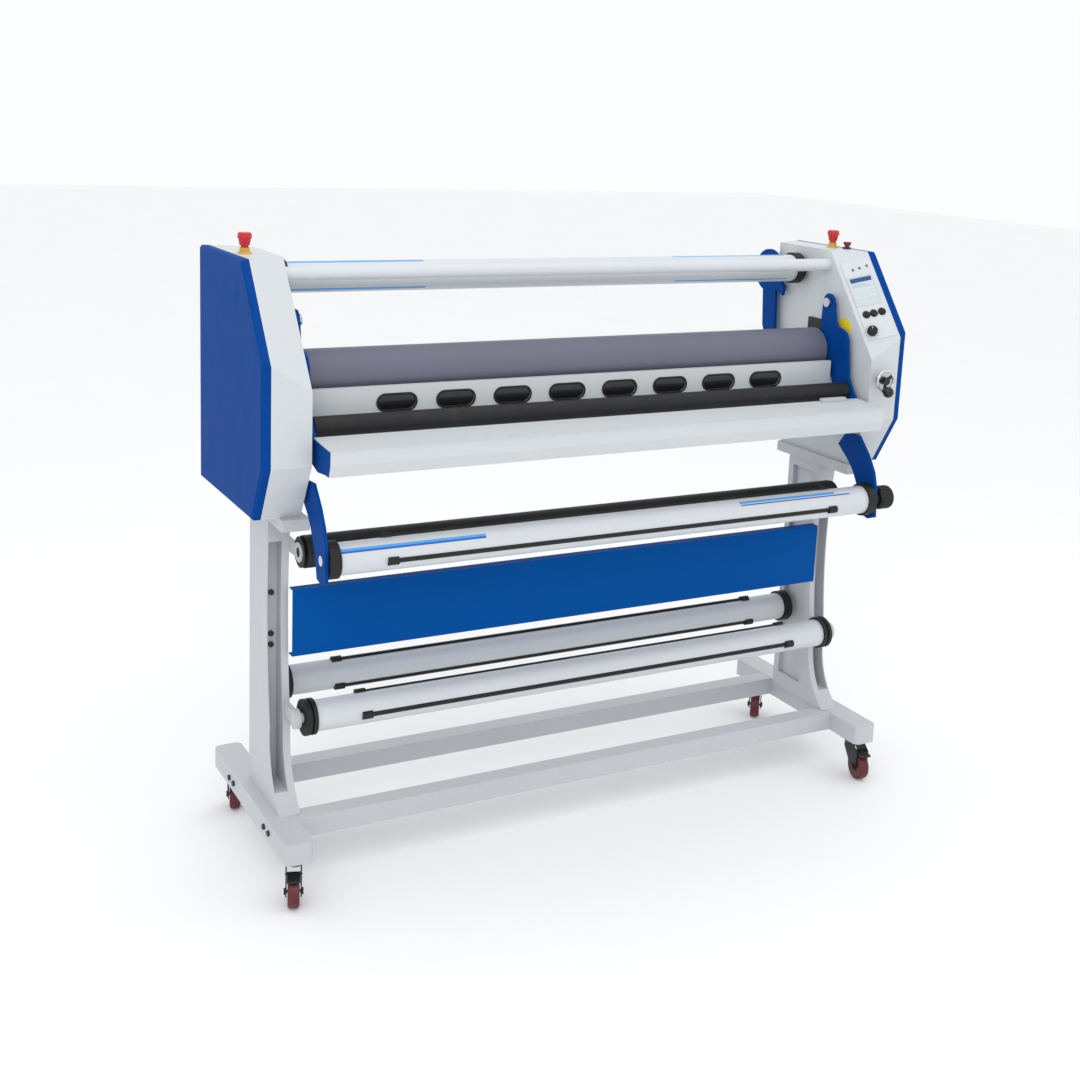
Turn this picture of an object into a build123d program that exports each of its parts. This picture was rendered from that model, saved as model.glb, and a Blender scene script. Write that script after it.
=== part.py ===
from build123d import *
import math
import os

# Roll laminator for sign and vinyl work, on a castered stand.
# Frame: +X along the rollers (operator's right), -Y towards the operator, +Z up.
# The origin is on the floor, below the axis of the main rollers. Units are millimetres.

# ---------------------------------------------------------------- driving dimensions
side_x = 800.0            # inner wall of each cabinet, measured from the middle
cabinet_bottom = 905.0    # height of the cabinets' undersides
cabinet_height = 583.0
shell_width = 95.0        # white cabinet shell
cover_width = 22.0        # blue side cover outside the shell
cover_bevel = 6.0
front_y = -216.0          # upright front wall of the cabinets
top_front_y = -62.0       # front end of the top wall, at the outer side
top_front_inner_y = -6.0  # front end of the top wall, at the inner side
skirt_y = -143.0          # front end of the cabinet's bottom
rear_y = 281.0            # rear wall, at the outer side
rear_inner_y = 225.0      # rear wall, at the inner side
sheet = 3.0               # folded sheet thickness
cabinet_top = cabinet_bottom + cabinet_height
fold_z = cabinet_top - 205.0      # fold under the sloped face, at the outer side
skirt_z = cabinet_bottom + 134.0  # fold above the lower slanted wall

nip_z = cabinet_bottom + 244.0    # height of the closed nip
roller_r = 60.0
roller_half = side_x - 28.0       # half the rubber face
journal_r = 15.0
lift = 25.0               # travel of the upper roller
nip_gap = 0.3             # the two rubber faces never quite meet
run_gap = 0.05            # radial clearance of a running fit
gap = 0.5                 # clearance between moving neighbours
plate = 12.0              # roller side plate thickness

tube_r = 38.0             # winding shafts, for three-inch cores
tube_wall = 3.0
tube_half = side_x - 42.0
flange_r = 44.0
flange_width = 26.0
stub_r = 12.0
cord_r = 6.0
plug_length = 26.0        # round rubber plug at each end of a cord
cord_half = side_x - 180.0

leg_x0, leg_x1 = side_x - 8.0, side_x + 46.0
leg_rear_y = 96.0
foot_x0, foot_x1 = side_x + 6.0, side_x + 76.0
foot_y0, foot_y1 = -282.0, 306.0
foot_z0, foot_z1 = 110.0, 162.0
foot_wall = 3.0
head_drop = 28.0          # depth of the channel between leg and cabinet
beam = 50.0               # square tube between the feet
front_beam_y = -138.0
rear_beam_y = 146.0

wheel_r = 37.5
wheel_width = 28.0
caster_trail = 30.0
caster_front_y = -236.0
caster_rear_y = 236.0
axle_r = 4.0

# y, z of the winding shafts, idlers and tie tube
shaft_a = (-262.0, cabinet_bottom - 73.0)
shaft_b = (62.0, 420.0)
shaft_c = (-124.0, 400.0)
shaft_d = (117.0, cabinet_top - 63.0)
tie_tube = (0.0, cabinet_top - 41.0)
tie_r, tie_wall = 17.0, 2.0
lower_idler = (-104.0, cabinet_bottom - 99.0)
lower_idler_r = 39.0
front_idler = (-142.0, nip_z - 37.0)
front_idler_r = 25.0
idler_stub_r = 8.0

guard_half = side_x - 32.0
table_back = (-187.0, nip_z - 50.0)
table_front = (-299.0, nip_z - 57.0)
table_depth = 62.0
arm_t = 8.0
arm_x1 = side_x - 14.0    # outer face of the swing arms, which stand off the cabinet wall
pivot = (-42.0, nip_z + 197.0)
pivot_pin_r, pivot_collar_r = 8.0, 13.0
bolt_head = 8.0

banner_half = leg_x0 - 3.0
banner_y = -60.0
banner_z0, banner_z1 = 531.0, 699.0
banner_lip, banner_sheet = 26.0, 2.0

guard_y = -85.0
guard_t = 3.0
guard_z0, guard_z1 = nip_z - 31.0, nip_z + 38.0
guard_lip = 14.0
tab_y = -57.0             # the guard's end tabs run back to here, behind the swing arms
tab_h = 16.0
window_count = 8
window_pitch = cord_half / 4
window_w, window_h = 97.0, 36.0
window_z = nip_z - 2.0

roller_teeth, motor_teeth = 36, 12
chain_pitch = 12.7
chain_width = 5.0
motor_y, motor_z = 120.0, nip_z - 164.0
motor_axis_z = cabinet_bottom + 29.0   # the motor lies below its worm gearbox's output
motor_can_r, motor_can_length = 25.0, 165.0

# emergency stops on top of each cabinet, and a low button beside the right one
stop_x, stop_y = side_x + 68.0, 70.0
stop_r, stop_stem_r, stop_travel = 16.5, 9.0, 5.0
collar_r, collar_h, neck_h, cap_h = 12.0, 14.0, 16.0, 14.0
low_x, low_y, low_r, low_travel = side_x + 85.0, 26.0, 11.0, 4.0
low_collar_r, low_stem_r, low_collar_h = 12.0, 6.0, 5.0
low_neck_h, low_cap_h = 4.0, 6.0
stem_depth = 25.0


# ---------------------------------------------------------------- helpers
os.makedirs("parts", exist_ok=True)


def save(name, *solids):
    """Writes one node; several solids stay separate solids in it."""
    shape = solids[0] if len(solids) == 1 else Compound(children=list(solids))
    export_step(shape, f"parts/{name}.step")


def block(x0, x1, y0, y1, z0, z1):
    size = (x1 - x0, y1 - y0, z1 - z0)
    return Pos((x0 + x1) / 2, (y0 + y1) / 2, (z0 + z1) / 2) * Box(*size)


def rod_x(r, x0, x1, yz):
    """A round bar along X between x0 and x1."""
    return Pos((x0 + x1) / 2, *yz) * Rot(0, 90, 0) * Cylinder(r, abs(x1 - x0))


def rod_z(r, z0, z1, x, y):
    return Pos(x, y, (z0 + z1) / 2) * Cylinder(r, z1 - z0)


def prism(points, x0, x1):
    """A polygon of (y, z) points, extruded along X."""
    outline = Plane.YZ.offset(x0) * make_face(Polyline(*points, close=True))
    return extrude(outline, x1 - x0)


def flip(shape):
    """The same piece on the other side of the machine."""
    return mirror(shape, about=Plane.YZ)


def cut_by(shape, planes):
    """Keeps what lies behind every plane, each given as (point, outward normal)."""
    for point, normal in planes:
        shape = split(shape, bisect_by=Plane(origin=point, z_dir=normal), keep=Keep.BOTTOM)
    return shape


# ---------------------------------------------------------------- cabinets
outer_x = side_x + shell_width + cover_width
slope_a = Vector(outer_x, top_front_y, cabinet_top)
slope_b = Vector(outer_x, front_y, fold_z)
slope_c = Vector(side_x, top_front_inner_y, cabinet_top)
slope_n = (slope_c - slope_a).cross(slope_b - slope_a).normalized()
panel_up = (slope_a - slope_b).normalized()
panel_x = panel_up.cross(slope_n)
skirt_n = Vector(0, -(skirt_z - cabinet_bottom), -(skirt_y - front_y)).normalized()
rear_n = Vector(-(rear_y - rear_inner_y), outer_x - side_x, 0).normalized()


def cabinet_planes(inset):
    """The six walls of a right-hand cabinet, moved inwards by inset."""
    walls = [
        (Vector(0, front_y, 0), Vector(0, -1, 0)),
        (slope_a, slope_n),
        (Vector(0, 0, cabinet_top), Vector(0, 0, 1)),
        (Vector(0, 0, cabinet_bottom), Vector(0, 0, -1)),
        (Vector(0, front_y, skirt_z), skirt_n),
        (Vector(outer_x, rear_y, 0), rear_n),
    ]
    return [(point - normal * inset, normal) for point, normal in walls]


def cabinet_block(x0, x1, inset=0.0):
    whole = block(x0, x1, -400, 400, cabinet_bottom - 50, cabinet_top + 50)
    return cut_by(whole, cabinet_planes(inset))


upper_yz = (0.0, nip_z + roller_r)
lower_yz = (0.0, nip_z - roller_r)
slot_half = journal_r + 5
shell_x1 = side_x + shell_width

def journal_openings(x0, x1):
    """The slot of the upper journal, which rises, and the hole of the lower one."""
    slot = block(x0, x1, -slot_half, slot_half,
                 upper_yz[1] - slot_half, upper_yz[1] + lift + slot_half)
    return slot + rod_x(slot_half, x0, x1, lower_yz)


def top_hole(r, x, y):
    """A hole through a cabinet's top wall."""
    return rod_z(r, cabinet_top - 60, cabinet_top + 60, x, y)


shell = cabinet_block(side_x, shell_x1) - cabinet_block(side_x + sheet, shell_x1 + 5, sheet)
shell -= journal_openings(side_x - 5, side_x + 8)
shell -= rod_x(stub_r + run_gap, side_x - 5, side_x + 8, shaft_d)
shell -= top_hole(stop_stem_r + gap, stop_x, stop_y)
save("left_cabinet_shell", flip(shell))
shell -= top_hole(low_stem_r + gap, low_x, low_y)

cover = cabinet_block(shell_x1, outer_x)
cover = chamfer(cover.faces().sort_by(Axis.X)[-1].edges(), cover_bevel)
cover -= cabinet_block(shell_x1 - 5, outer_x - cover_bevel, sheet)


def panel_point(a, b, w=0.0):
    """A point on the right-hand sloped face: a across, b up its long edges, w out of it."""
    return slope_c + panel_x * a + panel_up * b + slope_n * w


def on_panel(ab, w, shape):
    """Places a shape, drawn about the origin with +Z out, on the sloped face."""
    return Plane(origin=panel_point(*ab, w), x_dir=panel_x, z_dir=slope_n) * shape


panel_w, panel_h, panel_t = 84.0, 247.0, 2.0
panel_at = (54.0, -168.5)
display_w, display_h = 71.0, 87.0
display_at = (51.5, -141.5)
button_r, plunger_r, plunger_depth = 8.0, 4.0, 14.0
button_travel, button_proud = 2.5, 4.0
buttons_at = [(31.0, -215.0), (53.0, -215.0), (77.0, -215.0)]
dial_at = (28.0, -268.0)
dial_r, dial_h, dial_shaft_r = 13.0, 16.0, 4.0

front_panel = on_panel(panel_at, panel_t / 2, Box(panel_w, panel_h, panel_t))
front_panel -= on_panel(display_at, panel_t, Box(display_w, display_h, 4 * panel_t))
save("display_window", on_panel(display_at, panel_t / 2, Box(display_w, display_h, panel_t)))

button_low = button_travel + gap
button_h = button_proud + panel_t - button_low
for number, ab in enumerate(buttons_at, 1):
    button = on_panel(ab, button_low + button_h / 2, Cylinder(button_r, button_h))
    button += on_panel(ab, (button_low - plunger_depth) / 2,
                       Cylinder(plunger_r, button_low + plunger_depth))
    save(f"panel_button_{number}", button)
    shell -= on_panel(ab, 0, Cylinder(plunger_r + gap, 40))
    front_panel -= on_panel(ab, 0, Cylinder(button_r + gap, 40))

dial = on_panel(dial_at, panel_t + gap + dial_h / 2, Cylinder(dial_r, dial_h))
dial = chamfer(dial.faces().sort_by(Axis(panel_point(0, 0), slope_n))[-1].edges(), 1.5)
dial += on_panel(dial_at, 0, Cylinder(dial_shaft_r, 2 * (panel_t + gap) + 12))
save("speed_dial", dial)
dial_hole = on_panel(dial_at, 0, Cylinder(dial_shaft_r + run_gap, 40))
shell -= dial_hole
save("control_panel", front_panel - dial_hole)


def stop_collar(x, y, r, height, bore):
    return rod_z(r, cabinet_top, cabinet_top + height, x, y) - top_hole(bore, x, y)


def stop_button(x, y, r, stem, low, neck_h, head_h):
    """A mushroom cap on a flared neck and a stem that reaches into the cabinet."""
    head_z = low + neck_h
    cap = rod_z(r, head_z, head_z + head_h, x, y)
    cap = fillet(cap.faces().sort_by(Axis.Z)[-1].edges(), head_h / 3)
    cap += Pos(x, y, low + neck_h / 2) * Cone(stem + 3, r - 1.5, neck_h)
    return cap + rod_z(stem, cabinet_top - stem_depth, low, x, y)


right_stop = stop_button(stop_x, stop_y, stop_r, stop_stem_r,
                         cabinet_top + collar_h + stop_travel + gap, neck_h, cap_h)
save("right_stop_cap", right_stop)
save("left_stop_cap", flip(right_stop))
save("reset_button", stop_button(low_x, low_y, low_r, low_stem_r,
                                 cabinet_top + low_collar_h + low_travel + gap, low_neck_h, low_cap_h))
collars = [stop_collar(s * stop_x, stop_y, collar_r, collar_h, stop_stem_r + gap) for s in (-1, 1)]
collars.append(stop_collar(low_x, low_y, low_collar_r, low_collar_h, low_stem_r + gap))
save("stop_collars", *collars)

# handwheel on the front wall, which raises the upper roller
wheel_x, wheel_z = side_x + 28.0, nip_z + 7.0
hand_r, hand_rim, ball_r = 28.0, 4.0, 15.0
hub_r, hub_y = 11.0, front_y - 30.0
spindle_r, spindle_depth = 7.0, 70.0
front_axis = Rot(90, 0, 0)
shell -= Pos(wheel_x, front_y, wheel_z) * front_axis * Cylinder(spindle_r + run_gap, 30)
handwheel = Pos(wheel_x, hub_y, wheel_z) * front_axis * Torus(hand_r, hand_rim)
handwheel += Pos(wheel_x, hub_y + 3, wheel_z) * front_axis * Cylinder(hub_r, 20)
for turn in (90, 210, 330):
    spoke = Pos(hand_r / 2, 0, 0) * Box(hand_r, 8, 5)
    handwheel += Pos(wheel_x, hub_y, wheel_z) * Rot(0, turn, 0) * Rot(90, 0, 0) * spoke
spindle_end = front_y + spindle_depth
spindle_mid = (hub_y + spindle_end) / 2
handwheel += Pos(wheel_x, spindle_mid, wheel_z) * front_axis * Cylinder(spindle_r, spindle_end - hub_y)
knob_at = Pos(wheel_x - hand_r * 0.36, hub_y, wheel_z - hand_r * 0.93)
ball = knob_at * Pos(0, -26, 0) * Sphere(ball_r)
ball += knob_at * Pos(0, -9, 0) * front_axis * Cylinder(5.5, 10)
save("pressure_handwheel", handwheel, ball)

# roller side plates, with bearings for the lower roller and a slot for the lifting block
plate_x0 = side_x + 16.0
block_half, block_h = 30.0, 54.0
side_plate = block(plate_x0, plate_x0 + plate, -90, 90, cabinet_bottom + sheet, nip_z + 181)
guide = block(plate_x0 - 5, plate_x0 + plate + 5, -block_half - gap, block_half + gap,
              upper_yz[1] - block_h / 2 - gap, upper_yz[1] + lift + block_h / 2 + gap)
side_plate -= guide
side_plate -= rod_x(journal_r + run_gap, plate_x0 - 5, plate_x0 + plate + 5, lower_yz)
save("roller_side_plates", side_plate, flip(side_plate))
lift_block = block(plate_x0 - 6, plate_x0 + plate + 6, -block_half, block_half,
                   upper_yz[1] - block_h / 2, upper_yz[1] + block_h / 2)
lift_block -= rod_x(journal_r + run_gap, plate_x0 - 10, plate_x0 + plate + 10, upper_yz)
save("lifting_blocks", lift_block, flip(lift_block))

# drive: geared motor, small sprocket, chain and large sprocket, in the left cabinet
sprocket_x = -(plate_x0 + plate + 30)
sprocket_t = 7.0


def pitch_radius(teeth):
    return chain_pitch / (2 * math.sin(math.pi / teeth))


def sprocket(teeth, bore, hub, yz):
    """A toothed disc with a hub, its axis along X."""
    tooth = pitch_radius(teeth)
    disc = Cylinder(tooth + 3.5, sprocket_t)
    for k in range(teeth):
        spot = Rot(0, 0, 360 * (k + 0.5) / teeth) * Pos(tooth + 2, 0, 0)
        disc -= spot * Cylinder(4.2, sprocket_t + 2)
    disc += Pos(0, 0, sprocket_t) * Cylinder(hub, sprocket_t + 4)
    disc -= Cylinder(bore, 80)
    return Pos(sprocket_x, *yz) * Rot(0, 90, 0) * disc


motor_yz = (motor_y, motor_z)
save("roller_sprocket", sprocket(roller_teeth, journal_r, 24, lower_yz))
motor_shaft_r = 7.0
save("motor_sprocket", sprocket(motor_teeth, motor_shaft_r, 13, motor_yz),
     rod_x(motor_shaft_r, sprocket_x - 6, -(plate_x0 + plate + 4), motor_yz))


def chain_loop(offset):
    """The outline that wraps both sprockets at the given offset from the pitch line."""
    big, small = pitch_radius(roller_teeth) + offset, pitch_radius(motor_teeth) + offset
    dy, dz = motor_y - lower_yz[0], motor_z - lower_yz[1]
    span = math.hypot(dy, dz)
    heading = math.atan2(dz, dy)
    lean = math.acos((big - small) / span)
    points = []
    for centre, r, a0, a1 in ((lower_yz, big, lean, 2 * math.pi - lean),
                              (motor_yz, small, -lean, lean)):
        for part in (0, 0.5, 1):
            a = heading + a0 + (a1 - a0) * part
            points.append((centre[0] + r * math.cos(a), centre[1] + r * math.sin(a)))
    wire = [ThreePointArc(*points[0:3]), Line(points[2], points[3]),
            ThreePointArc(*points[3:6]), Line(points[5], points[0])]
    return Plane.YZ.offset(sprocket_x - chain_width / 2) * make_face(Wire(wire))


chain = extrude(chain_loop(8.5), chain_width) - extrude(chain_loop(4.2), chain_width)
save("drive_chain", chain)
gear_x0, gear_x1 = sprocket_x + 14, -(plate_x0 + plate)
gearbox = block(gear_x0, gear_x1, motor_y - 45, motor_y + 42, motor_axis_z - 25, motor_z + 42)
gearbox = chamfer(gearbox.edges().filter_by(Axis.X), 8)
can_x = gear_x1 - motor_can_r - 1
can_y = motor_y - 45 - motor_can_length / 2
can = Pos(can_x, can_y, motor_axis_z) * front_axis * Cylinder(motor_can_r, motor_can_length + 8)
motor = gearbox + can - rod_x(motor_shaft_r + run_gap, gear_x0 - 5, gear_x1 - 3, motor_yz)
save("drive_motor", motor)

# power inlet on the rear of the right cabinet, near the bottom
inlet_mid = Vector((side_x + shell_x1) / 2, 0, cabinet_bottom + 80)
rear_at = rear_inner_y + (inlet_mid.X - side_x) * (rear_y - rear_inner_y) / (outer_x - side_x)
inlet_plane = Plane(origin=(inlet_mid.X, rear_at, inlet_mid.Z),
                    x_dir=(-rear_n.Y, rear_n.X, 0), z_dir=rear_n)
shell -= inlet_plane * Box(42, 30, 30)
inlet = inlet_plane * (Pos(0, 0, 1.5) * Box(52, 38, 3) + Pos(0, 0, -10) * Box(41.6, 29.6, 20))
inlet -= inlet_plane * Pos(0, 0, -2) * Box(26, 18, 24)
for off in (-7, 0, 7):
    inlet += inlet_plane * Pos(off, 0, -9) * Box(2, 5, 12)
save("power_inlet", inlet)

save("right_cabinet_shell", shell)
save("side_covers", cover, flip(cover))

# ---------------------------------------------------------------- main rollers
def journal_roller(r, half, reach_left, reach_right, yz, neck_r):
    """A roller body with a neck at each end."""
    return rod_x(r, -half, half, yz) + rod_x(neck_r, -reach_left, reach_right, yz)


journal_reach = plate_x0 + plate + 8
save("upper_roller", journal_roller(roller_r, roller_half, journal_reach, journal_reach,
                                    upper_yz, journal_r))
save("lower_roller", journal_roller(roller_r - nip_gap, roller_half, -sprocket_x + 12, journal_reach,
                                    lower_yz, journal_r))

# black shields beside the upper roller's journal slots
shield_x0, shield_t = side_x - 6, 5.0
shield_points = [(-36, 1), (62, 1), (62, 142), (-6, 142), (-36, 113)]   # y, height over the nip
shield = prism([(y, nip_z + z) for y, z in shield_points], shield_x0, shield_x0 + shield_t)
shield -= journal_openings(shield_x0 - 5, side_x + 5)
save("journal_shields", shield, flip(shield))

# ---------------------------------------------------------------- guard plate with windows
guard = block(-guard_half, guard_half, guard_y, guard_y + guard_t, guard_z0, guard_z1)
guard += block(-guard_half, guard_half, guard_y, guard_y + guard_lip, guard_z1 - guard_t, guard_z1)
for k in range(window_count):
    x = (k - (window_count - 1) / 2) * window_pitch
    straight = (window_w - window_h) / 2
    guard -= block(x - straight, x + straight, guard_y - 5, guard_y + 8,
                   window_z - window_h / 2, window_z + window_h / 2)
    for s in (-1, 1):
        guard -= Pos(x + s * straight, guard_y, window_z) * front_axis * Cylinder(window_h / 2, 16)
tab = block(guard_half - guard_t, guard_half, guard_y, tab_y, guard_z0, guard_z0 + tab_h)
tab += block(guard_half - guard_t, side_x, tab_y - guard_t, tab_y, guard_z0, guard_z0 + tab_h)
guard += tab + flip(tab)
save("window_guard", guard)

# ---------------------------------------------------------------- swing-out table
table_points = [table_back, table_front, (table_front[0], table_front[1] - table_depth * 0.55),
                (table_front[0] + 9, table_front[1] - table_depth),
                (table_front[0] + 30, table_front[1] - table_depth),
                (table_back[0], table_back[1] - 20)]
table = prism(table_points, -arm_x1, arm_x1)
inner_points = [(table_back[0] - sheet, table_back[1] - sheet),
                (table_front[0] + sheet, table_front[1] - sheet),
                (table_front[0] + sheet, table_front[1] - table_depth * 0.55),
                (table_front[0] + 12, table_front[1] - table_depth + sheet),
                (table_front[0] + 28, table_front[1] - table_depth + sheet),
                (table_back[0] - sheet, table_back[1] - 19)]
table -= prism(inner_points, -arm_x1 - 5, arm_x1 + 5)

# swing arms: their front ends lie inside the open ends of the table
arm_outline = [(-66, 196), (-61, 211), (-49, 220), (-34, 221), (-23, 212), (-18, 196), (-16, 151),
               (-20, 86), (-66, 16), (-104, -65), (-160, -109), (-215, -124), (-262, -119),
               (-287, -119), (-296, -91.1), (-296, -60.2), (-190, -53.2), (-174, -39), (-148, 1),
               (-140, 60), (-134, 104), (-124, 122), (-108, 130), (-86, 135), (-74, 150)]
swing_arm = prism([(y, nip_z + z) for y, z in arm_outline], arm_x1 - arm_t, arm_x1)
swing_arm -= rod_x(idler_stub_r + run_gap, arm_x1 - arm_t - 5, arm_x1 + 5, front_idler)
swing_arm -= rod_x(pivot_pin_r + run_gap, arm_x1 - arm_t - 5, arm_x1 + 5, pivot)
save("swing_arms", swing_arm, flip(swing_arm))
save("feed_table", table - swing_arm - flip(swing_arm))
pin = rod_x(pivot_pin_r, arm_x1 - arm_t - 1, side_x, pivot)
pin += rod_x(pivot_collar_r, arm_x1 - arm_t - 1 - bolt_head, arm_x1 - arm_t - 1, pivot)
pin += rod_x(pivot_collar_r, arm_x1 + 1, side_x, pivot)
save("swing_pivots", pin, flip(pin))
idler_half = arm_x1 - arm_t - 4
save("front_idler", journal_roller(front_idler_r, idler_half, arm_x1 + 4, arm_x1 + 4,
                                   front_idler, idler_stub_r))

# ---------------------------------------------------------------- lower arms and shaft A
hang_x0 = side_x - 14.0
hang_t = 8.0
hang_outline = [(-122, 52), (-150, 88), (-206, 92), (-250, 45), (-276, 5), (-290, -40), (-294, -118),
                (-268, -128), (-238, -122), (-222, -60), (-190, -8), (-170, 14)]   # y, height over the bottom
hang_points = [(y, cabinet_bottom + z) for y, z in hang_outline]
lower_arm = prism(hang_points, hang_x0, hang_x0 + hang_t)
lower_arm -= rod_x(stub_r + run_gap, hang_x0 - 5, hang_x0 + hang_t + 5, shaft_a)
lower_arm += block(hang_x0 + hang_t, side_x, -156, -136, cabinet_bottom + 52, cabinet_bottom + 72)
save("lower_arms", lower_arm, flip(lower_arm))


def winding_shaft(yz, left, right):
    """A hollow tube, closed at both ends, with a stub that reaches to each side."""
    tube = rod_x(tube_r, -tube_half, tube_half, yz)
    tube -= rod_x(tube_r - tube_wall, -tube_half + 12, tube_half - 12, yz)
    return tube + rod_x(stub_r, -left, -tube_half, yz) + rod_x(stub_r, tube_half, right, yz)


def grip_cords(yz, first, count):
    """Rubber cords let into the tube, each with a round plug at its ends."""
    made = []
    for k in range(count):
        a = math.radians(first + 360 * k / count)
        spot = (yz[0] + (tube_r - 1) * math.cos(a), yz[1] + (tube_r - 1) * math.sin(a))
        cord = rod_x(cord_r, -cord_half, cord_half, spot)
        plug = rod_x(cord_r + 4, cord_half, cord_half + plug_length, spot)
        made.append(cord + plug + flip(plug))
    return made


def shaft_flanges(yz, groove=False):
    """A pair of round end flanges that sit on the shaft's stubs."""
    ring = rod_x(flange_r, tube_half, tube_half + flange_width, yz)
    if groove:
        waist = rod_x(flange_r + 5, tube_half + 10, tube_half + 15, yz)
        ring -= waist - rod_x(flange_r - 7, tube_half, tube_half + flange_width, yz)
    ring -= rod_x(stub_r, tube_half - 5, tube_half + flange_width + 5, yz)
    return [ring, flip(ring)]


def save_shaft(name, yz, left, right, cords=0, first=180.0, groove=False):
    cord_solids = grip_cords(yz, first, cords) if cords else []
    tube = winding_shaft(yz, left, right)
    for cord in cord_solids:
        tube -= cord
    save(f"{name}_tube", tube)
    save(f"{name}_grips", *shaft_flanges(yz, groove), *cord_solids)


hang_x1 = hang_x0 + hang_t
lower_reach, supply_reach = leg_x0 + 14, side_x + 12
save_shaft("take_up_shaft", shaft_a, hang_x1, hang_x1 + 18, cords=3, first=190.0)
save_shaft("rear_shaft", shaft_b, lower_reach, lower_reach, cords=3, first=95.0)
save_shaft("front_shaft", shaft_c, leg_x0 + 16, leg_x0 + 16, cords=3, first=185.0, groove=True)
save_shaft("supply_shaft", shaft_d, supply_reach, supply_reach)

# tension knob of the take-up shaft
brake_x0 = hang_x1 + 1
brake = rod_x(31, brake_x0 + 18, brake_x0 + 62, shaft_a)
brake = chamfer(brake.edges(), 4) + rod_x(20, brake_x0, brake_x0 + 18, shaft_a)
brake -= rod_x(stub_r + run_gap, brake_x0 - 5, brake_x0 + 22, shaft_a)
save("tension_knob", brake)

# ---------------------------------------------------------------- tie tube, lower idler
tie = rod_x(tie_r, -side_x, side_x, tie_tube) - rod_x(tie_r - tie_wall, -side_x, side_x, tie_tube)
save("tie_tube", tie)
idler_reach = leg_x0 - 0.5
lower_body = journal_roller(lower_idler_r, leg_x0 - 12, idler_reach, idler_reach, lower_idler, stub_r)
save("lower_idler", lower_body)

# bearing cups that carry the lower idler and the two lower shafts on the legs
cup_r = 24.0


def cup(x0, x1, yz, arm_y):
    """A bearing ring with a tongue that runs back to the leg."""
    y0, y1 = sorted((yz[0], arm_y))
    shape = rod_x(cup_r, x0, x1, yz) + block(x0, x1, y0, y1, yz[1] - 16, yz[1] + 16)
    return shape - rod_x(stub_r + run_gap, x0 - 5, x1 + 5, yz)


# rear hook brackets, bolted to the inner rear of the cabinets
hook_x0 = side_x - 22.0
hook_r, hook_bore_r = 62.0, 26.0
hook_c = (244.0, nip_z + 255)
post_outline = [(150, 1), (214, 1), (256, 91), (268, 231), (206, 231), (198, 91), (150, 41)]
fork_outline = [(206, 203), (170, 189), (164, 213), (200, 241)]   # y, height over the nip
hook = rod_x(hook_r, hook_x0, hook_x0 + arm_t, hook_c)
for outline in (fork_outline, post_outline):
    hook += prism([(y, nip_z + z) for y, z in outline], hook_x0, hook_x0 + arm_t)
hook -= rod_x(hook_bore_r, hook_x0 - 5, hook_x0 + arm_t + 5, hook_c)
hook += block(hook_x0 + arm_t, side_x, 160, 200, nip_z + 6, nip_z + 41)
save("rear_brackets", hook, flip(hook))

# ---------------------------------------------------------------- stand
leg_top = cabinet_bottom - sheet


def leg_outline(front_shift=0.0):
    """Side view of a leg: straight behind, hollowed in front and flared at the foot."""
    top = (-52 + front_shift, leg_top)
    waist = (-36 + front_shift, 640)
    shin = (-60 + front_shift, 360)
    ankle = (-92 + front_shift, 215)
    toe = (-140 + front_shift, foot_z1)
    return [ThreePointArc(top, waist, shin), ThreePointArc(shin, ankle, toe),
            Line(toe, (leg_rear_y, foot_z1)), Line((leg_rear_y, foot_z1), (leg_rear_y, leg_top)),
            Line((leg_rear_y, leg_top), top)]


leg_face = Plane.YZ.offset(leg_x0) * make_face(Wire(leg_outline()))
leg = extrude(leg_face, leg_x1 - leg_x0)
front_web_y, pocket_z = -4.0, 205.0
leg -= block(leg_x0 + 18, leg_x1 - sheet, -200, front_web_y, pocket_z, leg_top - 84)
leg -= block(leg_x0 - 5, leg_x0 + 12, -26, leg_rear_y - 22, pocket_z, leg_top - 52)
leg -= block(leg_x0 + 15, leg_x1 - sheet, front_web_y + sheet, leg_rear_y - sheet, foot_z1 + 6, leg_top - 6)
leg -= block(leg_x0 + sheet, leg_x0 + 15, leg_rear_y - 19, leg_rear_y - sheet, foot_z1 + 6, leg_top - 6)

head = block(leg_x0 - 6, leg_x1 + 6, -168, 150, cabinet_bottom - head_drop, cabinet_bottom)
head -= block(leg_x0 - 3, leg_x1 + 3, -165, 147, cabinet_bottom - head_drop - 5, leg_top)
front_cup = cup(leg_x0 + 2, leg_x0 + 16, shaft_c, -50)
leg = leg - rod_x(stub_r + run_gap, leg_x0 - 5, leg_x0 + 20, shaft_b) - front_cup
idler_cup = cup(leg_x0 - 8, leg_x0, lower_idler, -8)
save("legs", leg, flip(leg))
save("leg_heads", head, flip(head))
save("shaft_cups", *[c for s in (front_cup, idler_cup) for c in (s, flip(s))])

foot = block(foot_x0, foot_x1, foot_y0, foot_y1, foot_z0, foot_z1)
foot = chamfer(foot.edges().filter_by(Axis.Z), 10)
foot -= block(foot_x0 + foot_wall, foot_x1 - foot_wall, foot_y0 + 12, foot_y1 - 12,
              foot_z0 + foot_wall, foot_z1 - foot_wall)
save("feet", foot, flip(foot))


def cross_beam(y):
    z0, z1 = foot_z0 + 1, foot_z0 + 1 + beam
    tube = block(-foot_x0, foot_x0, y - beam / 2, y + beam / 2, z0, z1)
    return tube - block(-foot_x0 - 5, foot_x0 + 5, y - beam / 2 + 3, y + beam / 2 - 3, z0 + 3, z1 - 3)


save("cross_beams", cross_beam(front_beam_y), cross_beam(rear_beam_y))

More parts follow.
